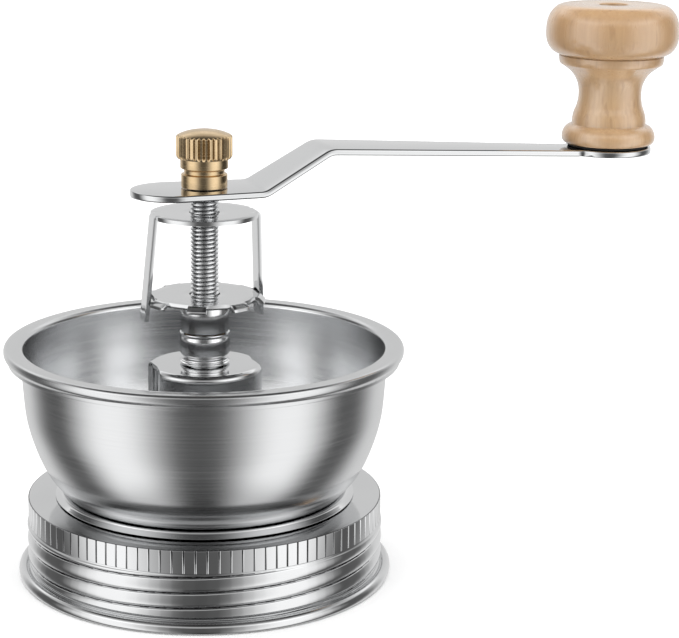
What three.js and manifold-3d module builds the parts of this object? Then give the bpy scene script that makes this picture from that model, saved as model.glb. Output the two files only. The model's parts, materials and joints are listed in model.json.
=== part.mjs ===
// Hand crank coffee grinder that screws onto a wide-mouth jar: screw band, hopper bowl, bearing
// bridge, conical burrs, notched adjusting wheel with its lock clip, crank arm, nut and knob.
// Millimetres, +Z up. The origin is the centre of the screw band's lower rim, on the axis of the
// drive shaft. The crank arm points along +X.

import * as THREE from 'three';
import { mergeVertices } from 'three/addons/utils/BufferGeometryUtils.js';
import Module from 'manifold-3d';

const wasm = await Module();
wasm.setup();

// ---- Driving dimensions ----

const GAP = 0.3; // clearance left between neighbouring pieces
const REACH = 60; // length of a drilling tool, longer than the stack that it goes through
const FINE = 32; // sides of the large round pieces
const COARSE = 20; // sides of the small round pieces

// Screw band: a flat top with a round mouth, a knurled side, three beads and a rolled rim
const band = { top: 20, sheet: 0.8, mouth: 24.6, radius: 44.25, inside: 43.2, rim: 46.85, rimHeight: 2.8 };
const beads = { knurlLow: 14.5, top: 14.2, second: 10, third: 6, groove: 0.1, depth: 0.35, bulge: 0.8 };
const gasket = { inside: 36, outside: 42.8, height: 1.8 };

// Foot ring between the band and the bowl, with a flared edge
const foot = { low: band.top + GAP, height: 1.3, mouth: 21.2, flare: 37.4, neck: 35.6 };

// Hopper bowl: a spun sheet with a flat floor, a curved wall and a rim rolled outward
const bowl = { sheet: 0.8, mouth: 20.5, floor: foot.low + foot.height + GAP, top: 58.7, rim: 49.45 };

// Bearing bridge: a drum cut along two sides, with a foot at the end of each leg
const bridge = { top: 53.4, sheet: 1.2, drum: 14.4, halfWidth: 12.5, hole: 4.8 };
const leg = { spreadZ: 33, footStart: 23.5, footReach: 32 };
const barrel = { radius: 6.2, low: bridge.top + GAP, top: 61.5, bore: 4.7, lip: 3.8, ledge: 0.8 };
const thrust = { recess: 5.2, depth: 1, height: 0.6 }; // washer in a recess in the top of the barrel

// Four screws clamp the bridge, bowl, foot ring and band onto the burr carrier
const screw = { x: 8, y: 26.8, shank: 1.5, head: 3, headHeight: 1.7, hole: 1.8, low: 15.4 };
const carrier = { low: 3, flange: 31, flangeHeight: 2.5, wall: 26.3, seat: 24.3, mouth: 19.6 };

// Burrs: the outer ring and the inner cone widen downward together below their throat
const burr = { low: 4.5, throat: 11, top: 18.6, outside: 24, taper: 2.3, throatRadius: 16.5, coarseGap: 1 };
const cone = { top: 21, neck: 7, pocket: 7.2, pocketTop: 7.8 };

// Pieces stacked on the shaft between the inner burr and the bridge, and the nut that holds the burr
const driver = { radius: 6, height: 2 };
const spring = { seat: 6.4, seatHeight: 0.8, radius: 5.2, wire: 0.55, turns: 7 };
const tailNut = { low: 2.3, top: 5.9, corner: 4.6, washerTop: 7.3, washer: 6.2 };

// Drive shaft: an M7 thread above the bearing, a plain journal, a D section and an M5 tail
const shaft = { thread: 3.5, journal: 3, tail: 2.5, low: 2, shoulder: 7.6, journalTop: 62, top: 109 };
const flat = { y: 2.5, clearY: 2.8, lowerTop: 30, upperLow: 90.2, upperTop: 98.2 };

// Notched adjusting wheel on its threaded hub
const wheel = { top: 71, sheet: 1.3, notch: 13, tabReach: 15.3, tabWidth: 4.6, tabs: 8, tabLow: 68.8 };
const hub = { low: 61.8, radius: 5.95, bore: 3.8 };

// Lock clip: a disc with two straps that hang into notches of the wheel
const clip = { low: 90.5, sheet: 1, disc: 13.2, strapWidth: 5.4, strapLow: 65.4 };
const strap = { leftTop: -12.7, leftLow: -15.3, rightTop: 13.2, rightLow: 13.9 };

// Crank arm: a level hub, a ramp, a long section that falls slightly and a level end pad
const arm = { low: 95.9, sheet: 1.7, hubCentre: -7.8, hubRadius: 10.5, rampLow: 13.2, rampTop: 30 };
const reach = { rampTopZ: 106.3, rampHalf: 8.4, neckHalf: 5.8, knob: 107.9, pad: 11.15, padZ: 102.85 };

// Cap nut: heights of its two collars are measured from its underside
const nut = { collar: 5.65, groove: 4.95, upper: 5.85, collarTop: 3.1, grooveTop: 4.3, slope: 0.3 };
const nutHead = { radius: 6.95, low: 104.9, top: 111.9, ridges: 34, ridgeDepth: 0.35 };

// Wooden knob, turning on a riveted pin with this clearance under the pin's head and the knob
const clearance = 0.2;
const knob = { low: 104.5, height: 35.5, bore: 2.3, recess: 3.7, recessDepth: 2.6 };
const pin = { radius: 1.9, head: 3.2, headHeight: 1.5, tailLow: 100.8, tailHeight: 0.9 };
const blackWasher = { radius: 10.4, height: 0.4 };

// ---- Materials ----

const metal = (color, roughness) => new THREE.MeshStandardMaterial({ color, roughness, metalness: 1 });
const plain = (color, roughness) => new THREE.MeshStandardMaterial({ color, roughness, metalness: 0 });
const polishedSteel = metal(0xc9cbcd, 0.15);
const satinSteel = metal(0xb5b7b9, 0.35);
const brass = metal(0xb8935a, 0.3);
const bronze = metal(0x9a7446, 0.45);
const ceramic = plain(0xf1efe8, 0.4);
const blackFibre = plain(0x161616, 0.7);
const silicone = plain(0xdedfe0, 0.6);
const nylon = plain(0x2a2b2d, 0.5);
const beech = plain(0xd9b488, 0.35);

// ---- Geometry helpers ----

const at = (x, y) => new THREE.Vector2(x, y);

// Joins equal vertices and leaves out the triangles that this flattens
function weld(geometry) {
  geometry.deleteAttribute('normal');
  geometry.deleteAttribute('uv');
  const merged = mergeVertices(geometry, 1e-4);
  const corners = merged.index.array;
  const kept = [];
  for (let i = 0; i < corners.length; i += 3) {
    const [a, b, c] = corners.slice(i, i + 3);
    if (a !== b && b !== c && c !== a) kept.push(a, b, c);
  }
  merged.setIndex(kept);
  return merged;
}

function toSolid(geometry) {
  const welded = weld(geometry);
  const vertProperties = Float32Array.from(welded.getAttribute('position').array);
  const triVerts = Uint32Array.from(welded.index.array);
  return new wasm.Manifold(new wasm.Mesh({ numProp: 3, vertProperties, triVerts }));
}

function toGeometry(solid) {
  const { vertProperties, triVerts } = solid.getMesh();
  const geometry = new THREE.BufferGeometry();
  geometry.setAttribute('position', new THREE.BufferAttribute(vertProperties, 3));
  geometry.setIndex(new THREE.BufferAttribute(triVerts, 1));
  return geometry;
}

function cut(geometry, ...tools) {
  return toGeometry(tools.reduce((body, tool) => body.subtract(toSolid(tool)), toSolid(geometry)));
}

function join(geometry, ...others) {
  return toGeometry(others.reduce((body, other) => body.add(toSolid(other)), toSolid(geometry)));
}

function common(geometry, other) {
  return toGeometry(toSolid(geometry).intersect(toSolid(other)));
}

// Turns an outline of (radius, height) points about Z. It closes on itself unless it starts on
// the axis.
function turned(outline, sides = COARSE) {
  const points = THREE.ShapeUtils.isClockWise(outline) ? [...outline].reverse() : [...outline];
  if (points[0].x > 0) points.push(points[0].clone());
  return weld(new THREE.LatheGeometry(points, sides).rotateX(Math.PI / 2));
}

function ring(inside, outside, low, high, sides = COARSE) {
  return turned([at(inside, low), at(outside, low), at(outside, high), at(inside, high)], sides);
}

function rod(radius, low, high, sides = COARSE) {
  const upright = new THREE.CylinderGeometry(radius, radius, high - low, sides).rotateX(Math.PI / 2);
  return upright.translate(0, 0, (low + high) / 2);
}

function plate(shape, low, high, curveSegments = 12) {
  const options = { depth: high - low, bevelEnabled: false, curveSegments };
  return new THREE.ExtrudeGeometry(shape, options).translate(0, 0, low);
}

// Extrudes an outline of (x, z) points across Y, centred on Y = 0
function across(outline, width) {
  const options = { depth: width, bevelEnabled: false };
  const slab = new THREE.ExtrudeGeometry(new THREE.Shape(outline), options);
  return slab.rotateX(Math.PI / 2).translate(0, width / 2, 0);
}

// Outline of a sheet of even thickness that follows a centreline
function sheetOutline(centreline, thickness) {
  const last = centreline.length - 1;
  const left = [];
  const right = [];
  centreline.forEach((point, i) => {
    const along = centreline[Math.min(i + 1, last)].clone().sub(centreline[Math.max(i - 1, 0)]).normalize();
    const offset = at(-along.y, along.x).multiplyScalar(thickness / 2);
    left.push(point.clone().add(offset));
    right.unshift(point.clone().sub(offset));
  });
  return [...left, ...right];
}

// Replaces each inner corner of a path by a curve between points at the given distance from it
function rounded(path, distance, steps = 3) {
  const towards = (from, to) => to.clone().sub(from).setLength(distance).add(from);
  const points = [path[0]];
  for (let i = 1; i < path.length - 1; i += 1) {
    const [before, corner, after] = path.slice(i - 1, i + 2);
    const bend = new THREE.QuadraticBezierCurve(towards(corner, before), corner, towards(corner, after));
    points.push(...bend.getPoints(steps));
  }
  points.push(path[path.length - 1]);
  return points;
}

// Half-round bead between two heights, standing out from the line that joins its ends
function bead(from, to, bulge, steps = 4) {
  const points = [];
  for (let i = 0; i <= steps; i += 1) {
    const point = from.clone().lerp(to, i / steps);
    points.push(point.setX(point.x + bulge * Math.sin((Math.PI * i) / steps)));
  }
  return points;
}

// Round outline with a flat on its +Y side
function dShape(radius, flatY) {
  const start = Math.asin(flatY / radius);
  return new THREE.Shape().absarc(0, 0, radius, Math.PI - start, start, false);
}

// Four drilling tools at the places of the carrier screws
function screwHoles() {
  return [-1, 1].flatMap((sideX) => [-1, 1].map(
    (sideY) => rod(screw.hole, -GAP, REACH, 12).translate(sideX * screw.x, sideY * screw.y, 0),
  ));
}

// ---- Screw band and gasket ----

function screwBand() {
  const { top, sheet, mouth, radius, inside, rim, rimHeight } = band;
  const { knurlLow, top: beadTop, second, third, groove, depth, bulge } = beads;
  const valley = radius - depth;
  const edge = 0.7; // rounding of the top edge and of the rolled rim
  const roll = [at(rim - edge, rimHeight), at(rim, rimHeight), at(rim, 0), at(rim - edge, 0)];
  const body = turned([
    at(mouth, top),
    ...rounded([at(radius - 3, top), at(radius, top), at(radius, top - 3)], edge, 2),
    at(radius, knurlLow),
    ...bead(at(valley, beadTop), at(valley, second), bulge),
    ...bead(at(valley, second - groove), at(valley, third), bulge),
    ...bead(at(valley + 0.2, third - groove), at(rim - 1.3, rimHeight), 0.75 * bulge),
    ...rounded(roll, edge, 2).slice(1, -1),
    at(inside + 2, 0),
    at(inside, 1),
    at(inside, top - sheet),
    at(mouth, top - sheet),
  ], FINE);
  return cut(body, ...screwHoles());
}

function lidGasket() {
  const high = band.top - band.sheet - GAP;
  return ring(gasket.inside, gasket.outside, high - gasket.height, high, FINE);
}

// ---- Bowl and its foot ring ----

function bowlFoot() {
  const { low, height, mouth, flare, neck } = foot;
  const top = low + height;
  const corner = at(neck, low + 0.4 * height);
  const flared = new THREE.QuadraticBezierCurve(at(flare, low), corner, at(neck, top));
  return cut(turned([at(mouth, low), ...flared.getPoints(5), at(mouth, top)], FINE), ...screwHoles());
}

// Centreline of the bowl's wall, from the floor's corner to the underside of the rim
function wallCurve() {
  return new THREE.SplineCurve([
    at(35.9, 23.5),
    at(38.9, 27.3),
    at(41.7, 33.5),
    at(43.7, 40.6),
    at(44.5, 48.5),
    at(44.8, 54.6),
  ]).getPoints(7);
}

// Rolled edge: up, outward, down around the bead and back in to a narrower lip
function rimCurve() {
  const { top, rim, sheet } = bowl;
  const half = sheet / 2;
  const flange = [at(44.9, 57), at(44.9, top - half), at(rim - half, top - half), at(rim - half, 56.8)];
  return [...rounded(flange, 0.9, 2), at(rim - 1.3, 56.1), at(rim - 1.4, 54.9)];
}

function hopperBowl() {
  const floorZ = bowl.floor + bowl.sheet / 2;
  const centreline = [at(bowl.mouth, floorZ), at(34.6, floorZ), ...wallCurve(), ...rimCurve()];
  return cut(turned(sheetOutline(centreline, bowl.sheet), FINE), ...screwHoles());
}

// ---- Bearing bridge, barrel and bush ----

function bearingBridge() {
  const { top, sheet, drum, halfWidth, hole } = bridge;
  const shellRadius = drum - sheet / 2;
  const feet = bowl.floor + bowl.sheet + GAP + sheet / 2;
  const path = [
    at(hole, top - sheet / 2),
    at(shellRadius, top - sheet / 2),
    at(shellRadius, leg.spreadZ),
    at(leg.footStart, feet),
    at(leg.footReach, feet),
  ];
  const drumSolid = turned(sheetOutline(rounded(path, 1.6), sheet), FINE);
  const strip = new THREE.BoxGeometry(2 * halfWidth, 2 * REACH, 2 * REACH).translate(0, 0, REACH);
  return cut(common(drumSolid, strip), ...screwHoles());
}

// Bulged barrel on two base rings, with a recess for the thrust washer and a spigot below
function bearingBarrel() {
  const { radius, low, top, bore, lip, ledge } = barrel;
  const spigot = bridge.hole - GAP / 2;
  return turned([
    at(lip, low - bridge.sheet - GAP),
    at(spigot, low - bridge.sheet - GAP),
    at(spigot, low),
    ...bead(at(radius, low), at(radius, low + 1), 0.3, 3),
    at(radius - 0.6, low + 1.3),
    at(radius - 0.6, low + 2),
    ...bead(at(radius - 0.5, low + 2.2), at(radius - 0.3, top - 0.7), 0.5),
    at(radius, top),
    at(thrust.recess, top),
    at(thrust.recess, top - thrust.depth),
    at(bore, top - thrust.depth),
    at(bore, low + ledge),
    at(lip, low + ledge),
  ]);
}

function bearingBush() {
  const low = barrel.low + barrel.ledge + GAP;
  const high = barrel.top - thrust.depth - GAP;
  return ring(shaft.journal + GAP, barrel.bore - GAP, low, high);
}

function thrustWasher() {
  const low = barrel.top - thrust.depth + GAP;
  return ring(hub.bore, thrust.recess - GAP, low, low + thrust.height);
}

// ---- Burr carrier, burrs and screws ----

function burrCarrier() {
  const { low, flange, flangeHeight, wall, seat, mouth } = carrier;
  const top = band.top - band.sheet - GAP;
  const cup = turned([
    at(mouth, low),
    at(wall, low),
    at(wall, top - flangeHeight),
    at(flange, top - flangeHeight),
    at(flange, top),
    at(seat, top),
    at(seat, burr.low - GAP),
    at(mouth, burr.low - GAP),
  ], FINE);
  return cut(cup, ...screwHoles());
}

function outerBurr() {
  const { low, throat, top, outside, taper, throatRadius } = burr;
  return turned([
    at(throatRadius + taper, low),
    at(outside, low),
    at(outside, top),
    at(throatRadius + 3.3, top),
    at(throatRadius, throat),
  ], FINE);
}

function innerBurr() {
  const { low, throat, taper, throatRadius, coarseGap } = burr;
  const body = turned([
    at(0, low - GAP),
    at(throatRadius + taper - coarseGap, low - GAP),
    at(throatRadius - coarseGap, throat),
    at(cone.neck + 2.5, cone.top - 3),
    at(cone.neck, cone.top),
    at(0, cone.top),
  ], FINE);
  const bore = plate(dShape(shaft.journal + GAP, flat.clearY), 0, REACH);
  return cut(body, bore, rod(cone.pocket, 0, cone.pocketTop));
}

// D-bored disc on top of the cone, which turns the cone with the shaft
function burrDriver() {
  const low = cone.top + GAP;
  const bore = plate(dShape(shaft.journal + GAP, flat.clearY), 0, REACH);
  return cut(rod(driver.radius, low, low + driver.height), bore);
}

function springSeat() {
  const low = cone.top + driver.height + 2 * GAP;
  return ring(shaft.journal + GAP, spring.seat, low, low + spring.seatHeight);
}

function burrWasher() {
  return ring(shaft.tail + GAP, tailNut.washer, tailNut.top + GAP, tailNut.washerTop, 24);
}

function burrNut() {
  const { low, top, corner } = tailNut;
  return cut(rod(corner, low, top, 6), rod(shaft.tail + GAP, 0, REACH, 24));
}

function carrierScrew() {
  const seatZ = bowl.floor + bowl.sheet + 2 * GAP + bridge.sheet;
  const { shank, head, headHeight, low } = screw;
  return turned([
    at(0, low),
    at(shank, low),
    at(shank, seatZ),
    at(head, seatZ),
    at(head, seatZ + 0.6 * headHeight),
    at(0.6 * head, seatZ + headHeight),
    at(0, seatZ + headHeight),
  ], 20);
}

// ---- Spring between the bridge and the burr driver ----

class SpringPath extends THREE.Curve {
  constructor(radius, low, high, turns) {
    super();
    Object.assign(this, { radius, low, high, turns });
  }

  getPoint(t, target = new THREE.Vector3()) {
    const angle = 2 * Math.PI * this.turns * t;
    const height = THREE.MathUtils.lerp(this.low, this.high, t);
    return target.set(this.radius * Math.cos(angle), this.radius * Math.sin(angle), height);
  }
}

function burrSpring() {
  const { seatHeight, radius, wire, turns } = spring;
  const low = cone.top + driver.height + seatHeight + 3 * GAP + wire;
  const high = bridge.top - bridge.sheet - 2 * GAP - wire;
  const section = new THREE.Shape().absarc(0, 0, wire, 0, 2 * Math.PI, false);
  const extrudePath = new SpringPath(radius, low, high, turns);
  const options = { steps: 11 * turns, curveSegments: 3, bevelEnabled: false, extrudePath };
  return new THREE.ExtrudeGeometry(section, options);
}

// ---- Adjusting wheel and hub ----

function wheelTab() {
  const { top, sheet, notch, tabReach, tabWidth, tabLow } = wheel;
  const profile = [
    at(notch - 2, top - sheet),
    at(notch - 0.5, top - sheet),
    at(tabReach - 1.3, tabLow),
    at(tabReach - 0.2, tabLow),
    at(tabReach, tabLow + 0.7),
    at(notch + 0.4, top),
    at(notch - 2, top),
  ];
  return across(profile, tabWidth);
}

function adjustingWheel() {
  const step = (2 * Math.PI) / wheel.tabs;
  const tabs = Array.from({ length: wheel.tabs }, (_, i) => wheelTab().rotateZ((i + 0.5) * step));
  const disc = rod(wheel.notch, wheel.top - wheel.sheet, wheel.top, 64);
  return cut(join(disc, ...tabs), rod(hub.bore, 0, 2 * REACH));
}

function adjusterHub() {
  return ring(hub.bore, hub.radius, hub.low, wheel.top - wheel.sheet - GAP);
}

// ---- Drive shaft ----

function driveShaft() {
  const body = turned([
    at(0, shaft.low),
    at(shaft.tail, shaft.low),
    at(shaft.tail, shaft.shoulder),
    at(shaft.journal, shaft.shoulder),
    at(shaft.journal, shaft.journalTop),
    at(shaft.thread, shaft.journalTop + 0.5),
    at(shaft.thread, arm.low - GAP),
    at(shaft.journal, arm.low - GAP),
    at(shaft.journal, shaft.top - 0.5),
    at(shaft.journal - 0.5, shaft.top),
    at(0, shaft.top),
  ]);
  const flatTool = (low, high) => {
    const depth = 2 * shaft.thread;
    const block = new THREE.BoxGeometry(depth, depth, high - low);
    return block.translate(0, flat.y + depth / 2, (low + high) / 2);
  };
  const lowerFlat = flatTool(shaft.shoulder, flat.lowerTop);
  const upperFlat = flatTool(flat.upperLow, flat.upperTop);
  return cut(body, lowerFlat, upperFlat);
}

// ---- Lock clip ----

function lockClip() {
  const { low, sheet, disc, strapWidth, strapLow } = clip;
  const middle = low + sheet / 2;
  const path = [
    at(strap.leftLow, strapLow),
    at(strap.leftTop, middle),
    at(strap.rightTop, middle),
    at(strap.rightLow, strapLow),
  ];
  const straps = across(sheetOutline(rounded(path, 2), sheet), strapWidth);
  const hole = plate(dShape(shaft.thread + GAP, flat.clearY), 0, 2 * REACH);
  return cut(join(rod(disc, low, low + sheet, 64), straps), hole);
}

// ---- Crank arm and cap nut ----

function armPlan() {
  const { rampHalf, neckHalf, knob: knobX, pad } = reach;
  const neckAngle = Math.PI - Math.asin(neckHalf / pad);
  const shape = new THREE.Shape();
  shape.absarc(arm.hubCentre, 0, arm.hubRadius, Math.PI / 2, 1.5 * Math.PI, false);
  shape.lineTo(arm.rampTop, -rampHalf);
  shape.absarc(knobX, 0, pad, -neckAngle, neckAngle, false);
  shape.lineTo(arm.rampTop, rampHalf);
  return shape;
}

function crankArm() {
  const { low, sheet, hubCentre, hubRadius, rampLow, rampTop } = arm;
  const hubZ = low + sheet / 2;
  const centreline = rounded([
    at(hubCentre - hubRadius - 1, hubZ),
    at(rampLow, hubZ),
    at(rampTop, reach.rampTopZ),
    at(reach.knob - reach.pad, reach.padZ),
    at(reach.knob + reach.pad + 1, reach.padZ),
  ], 2.4);
  const bar = across(sheetOutline(centreline, sheet), 3 * hubRadius);
  const hubHole = plate(dShape(shaft.journal + GAP, flat.clearY), 0, 2 * REACH);
  const pinHole = rod(pin.radius + GAP, 0, 2 * REACH, 20).translate(reach.knob, 0, 0);
  return cut(common(bar, plate(armPlan(), 0, 2 * REACH)), hubHole, pinHole);
}

// Star-shaped outline with a ridge at every other corner
function ridgedOutline({ radius, ridges, ridgeDepth }) {
  return Array.from({ length: 2 * ridges }, (_, i) => {
    const ridgeRadius = i % 2 ? radius - ridgeDepth : radius;
    const angle = (Math.PI * i) / ridges;
    return at(ridgeRadius * Math.cos(angle), ridgeRadius * Math.sin(angle));
  });
}

// Brass nut: two smooth collars with a groove between them, under a knurled head with a domed top
function capNut() {
  const { collar, groove, upper, collarTop, grooveTop, slope } = nut;
  const { radius: head, low: headLow, top } = nutHead;
  const low = arm.low + arm.sheet + GAP;
  const overlap = 0.2; // the collars run into the head
  const collars = turned([
    at(0, low),
    at(collar, low),
    at(collar, low + collarTop),
    at(groove, low + collarTop + 0.2),
    at(groove, low + grooveTop),
    at(upper, low + grooveTop + slope),
    at(upper, headLow + overlap),
    at(0, headLow + overlap),
  ]);
  const knurled = plate(new THREE.Shape(ridgedOutline(nutHead)), headLow, top);
  const dome = turned([
    at(0, headLow),
    at(head - 0.4, headLow),
    at(head, headLow + 0.4),
    at(head, top - 0.9),
    at(head - 1, top - 0.3),
    at(head - 3.5, top),
    at(0, top),
  ]);
  const bore = rod(shaft.journal + GAP, 0, shaft.top + GAP);
  return cut(join(collars, common(knurled, dome)), bore);
}

// ---- Knob, washer and pin ----

// Flanged base, waist, a small step under the bulb, the bulb and its flat top. Heights are
// measured from the knob's underside.
function knobOutline() {
  const base = [at(11.3, 0), at(11.9, 0.8), at(12, 1.8), at(11.7, 2.8), at(10.9, 3.9)];
  const waist = new THREE.SplineCurve([
    at(9.6, 5.1),
    at(9.4, 7),
    at(8.4, 9.5),
    at(8.05, 12.5),
    at(8.6, 15.5),
    at(10.2, 18.1),
    at(13, 20.7),
  ]).getPoints(7);
  const bulb = new THREE.SplineCurve([
    at(13.9, 22.1),
    at(15.6, 24.1),
    at(16.8, 26.5),
    at(16.95, 29),
    at(16.5, 31.9),
    at(15, 34.4),
    at(13, knob.height),
  ]).getPoints(7);
  return [...base, ...waist, ...bulb];
}

function woodenKnob() {
  const { low, height, bore, recess, recessDepth } = knob;
  const seat = height - recessDepth;
  const inner = [at(recess, height), at(recess, seat), at(bore, seat), at(bore, 0)];
  return turned([...knobOutline(), ...inner], 28).translate(0, 0, low);
}

function knobWasher() {
  const high = knob.low - clearance;
  return ring(pin.radius + GAP, blackWasher.radius, high - blackWasher.height, high);
}

function knobPin() {
  const { radius, head, headHeight, tailLow, tailHeight } = pin;
  const seatZ = knob.low + knob.height - knob.recessDepth + clearance;
  return turned([
    at(0, tailLow),
    at(head - 0.8, tailLow),
    at(head, tailLow + tailHeight),
    at(radius, tailLow + tailHeight),
    at(radius, seatZ),
    at(head, seatZ),
    at(head, seatZ + 0.6 * headHeight),
    at(0.5 * head, seatZ + headHeight),
    at(0, seatZ + headHeight),
  ], 24);
}

// ---- Assembly ----

const group = new THREE.Group();

function place(parent, name, geometry, material, x = 0, y = 0) {
  const mesh = new THREE.Mesh(geometry, material);
  mesh.name = name;
  mesh.position.set(x, y, 0);
  parent.add(mesh);
}

place(group, 'screw_band', screwBand(), polishedSteel);
place(group, 'lid_gasket', lidGasket(), silicone);
place(group, 'bowl_foot', bowlFoot(), polishedSteel);
place(group, 'hopper_bowl', hopperBowl(), satinSteel);
place(group, 'bearing_bridge', bearingBridge(), polishedSteel);
place(group, 'bearing_barrel', bearingBarrel(), polishedSteel);
place(group, 'bearing_bush', bearingBush(), bronze);
place(group, 'thrust_washer', thrustWasher(), bronze);
place(group, 'burr_carrier', burrCarrier(), nylon);
place(group, 'outer_burr', outerBurr(), ceramic);
place(group, 'burr_spring', burrSpring(), satinSteel);
[[1, 1], [-1, 1], [-1, -1], [1, -1]].forEach(([sideX, sideY], i) => {
  place(group, `carrier_screw_${i + 1}`, carrierScrew(), polishedSteel, sideX * screw.x, sideY * screw.y);
});

place(group, 'adjusting_wheel', adjustingWheel(), polishedSteel);
place(group, 'adjuster_hub', adjusterHub(), polishedSteel);

place(group, 'drive_shaft', driveShaft(), satinSteel);
place(group, 'crank_arm', crankArm(), polishedSteel);
place(group, 'cap_nut', capNut(), brass);
place(group, 'inner_burr', innerBurr(), ceramic);
place(group, 'burr_driver', burrDriver(), satinSteel);
place(group, 'spring_seat', springSeat(), satinSteel);
place(group, 'burr_washer', burrWasher(), satinSteel);
place(group, 'burr_nut', burrNut(), satinSteel);

place(group, 'lock_clip', lockClip(), polishedSteel);

const knobGroup = new THREE.Group();
knobGroup.position.x = reach.knob;
group.add(knobGroup);
place(knobGroup, 'wooden_knob', woodenKnob(), beech);
place(knobGroup, 'knob_washer', knobWasher(), blackFibre);
place(knobGroup, 'knob_pin', knobPin(), polishedSteel);

export default group;
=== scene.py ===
import json
import math

import bmesh
import bpy
from mathutils import Matrix, Vector


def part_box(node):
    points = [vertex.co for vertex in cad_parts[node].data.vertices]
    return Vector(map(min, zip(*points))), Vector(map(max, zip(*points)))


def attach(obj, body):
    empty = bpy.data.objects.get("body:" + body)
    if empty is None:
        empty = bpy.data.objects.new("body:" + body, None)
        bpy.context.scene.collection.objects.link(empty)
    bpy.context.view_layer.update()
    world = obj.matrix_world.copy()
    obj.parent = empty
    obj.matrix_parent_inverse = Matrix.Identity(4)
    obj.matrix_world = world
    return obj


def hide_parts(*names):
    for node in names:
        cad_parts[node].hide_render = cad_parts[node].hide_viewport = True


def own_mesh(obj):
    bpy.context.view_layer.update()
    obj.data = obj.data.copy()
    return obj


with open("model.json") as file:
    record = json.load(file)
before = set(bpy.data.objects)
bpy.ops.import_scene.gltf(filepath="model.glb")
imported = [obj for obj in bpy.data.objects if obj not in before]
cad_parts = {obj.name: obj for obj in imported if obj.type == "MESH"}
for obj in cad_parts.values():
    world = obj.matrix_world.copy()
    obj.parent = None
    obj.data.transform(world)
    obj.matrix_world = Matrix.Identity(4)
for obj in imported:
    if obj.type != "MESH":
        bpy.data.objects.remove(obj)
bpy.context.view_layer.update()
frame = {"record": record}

# Outlines and sizes are in millimetres, and MM turns them into Blender's metres.
MM = 0.001
RECORD = frame["record"]
BODY_OF = {node: body for body, nodes in RECORD["behaviour"]["bodies"].items() for node in nodes}


class Span:
    """The box of a CAD node, in millimetres."""

    def __init__(self, node):
        low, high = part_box(node)
        self.low = low[2] / MM
        self.high = high[2] / MM
        self.left = low[0] / MM
        self.right = high[0] / MM
        self.x = (low[0] + high[0]) / 2 / MM
        self.y = (low[1] + high[1]) / 2 / MM
        self.radius = (high[1] - low[1]) / 2 / MM


# ---- Outlines ----

ROUND_ABOVE = math.radians(20)  # a corner that turns by less stays as it is
SIDE_SHARE = 0.45  # the most of a side that a rounded corner takes


def clamp(value, low=0.0, high=1.0):
    return min(max(value, low), high)


def blend_step(value):
    """Smooth step from 0 to 1."""
    value = clamp(value)
    return value * value * (3 - 2 * value)


def soften(points, radius, closed=True, steps=3):
    """Rounds the corners of an outline."""
    rounded = []
    last = len(points) - 1
    for i, point in enumerate(points):
        corner = Vector(point)
        if not closed and i in (0, last):
            rounded.append(tuple(corner))
            continue
        back = Vector(points[i - 1]) - corner
        ahead = Vector(points[(i + 1) % len(points)]) - corner
        inner_angle = back.angle(ahead)
        if math.pi - inner_angle < ROUND_ABOVE:
            rounded.append(tuple(corner))
            continue
        shorter_side = min(back.length, ahead.length)
        cut = min(radius / math.tan(inner_angle / 2), SIDE_SHARE * shorter_side)
        start = corner + back.normalized() * cut
        end = corner + ahead.normalized() * cut
        for step in range(steps + 1):
            t = step / steps
            rounded.append(tuple(start * (1 - t) ** 2 + corner * 2 * t * (1 - t) + end * t ** 2))
    return rounded


def smooth_curve(points, steps=6):
    """Catmull-Rom curve through the points."""
    padded = [points[0], *points, points[-1]]
    curve = []
    for i in range(len(points) - 1):
        a, b, c, d = (Vector(p) for p in padded[i:i + 4])
        for step in range(steps):
            t = step / steps
            linear = (c - a) * t
            square = (2 * a - 5 * b + 4 * c - d) * t ** 2
            cubic = (3 * b - a - 3 * c + d) * t ** 3
            curve.append(tuple(0.5 * (2 * b + linear + square + cubic)))
    curve.append(tuple(points[-1]))
    return curve


def raised(points, base):
    """The same outline with its heights counted from a base."""
    return [(radius, base + height) for radius, height in points]


def rows_between(start, end, count):
    """Evenly spaced points from start to end, both included."""
    return [tuple(Vector(start).lerp(Vector(end), i / count)) for i in range(count + 1)]


def sheet_outline(centreline, thickness):
    """Outline of a sheet of even thickness that follows a centreline."""
    left = []
    right = []
    last = len(centreline) - 1
    for i, point in enumerate(centreline):
        before = Vector(centreline[max(i - 1, 0)])
        after = Vector(centreline[min(i + 1, last)])
        along = (after - before).normalized()
        offset = Vector((-along.y, along.x)) * thickness / 2
        left.append(tuple(Vector(point) + offset))
        right.insert(0, tuple(Vector(point) - offset))
    return left + right


def ring_outline(inside, span):
    """Section of a plain ring that fills a span."""
    return [(inside, span.low), (span.radius, span.low), (span.radius, span.high), (inside, span.high)]


# ---- Meshes ----

SAME_POINT = 0.0005  # vertices closer than this are merged


def shade(mesh, crease):
    """Smooth shading that keeps edges sharper than crease degrees."""
    mesh.shade_smooth()
    mesh.set_sharp_from_angle(angle=math.radians(crease))


def make_mesh(name, verts, faces, material, crease=32):
    """Object from millimetre coordinates, with doubles merged."""
    mesh = bpy.data.meshes.new(name)
    mesh.from_pydata([Vector(v) * MM for v in verts], [], faces)
    mesh.materials.append(material)
    work = bmesh.new()
    work.from_mesh(mesh)
    bmesh.ops.remove_doubles(work, verts=work.verts, dist=SAME_POINT * MM)
    bmesh.ops.dissolve_degenerate(work, edges=work.edges, dist=SAME_POINT * MM)
    bmesh.ops.recalc_face_normals(work, faces=work.faces)
    work.to_mesh(mesh)
    work.free()
    shade(mesh, crease)
    piece = bpy.data.objects.new(name, mesh)
    bpy.context.scene.collection.objects.link(piece)
    return piece


def even_angles(columns):
    return [math.tau * i / columns for i in range(columns)]


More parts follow.
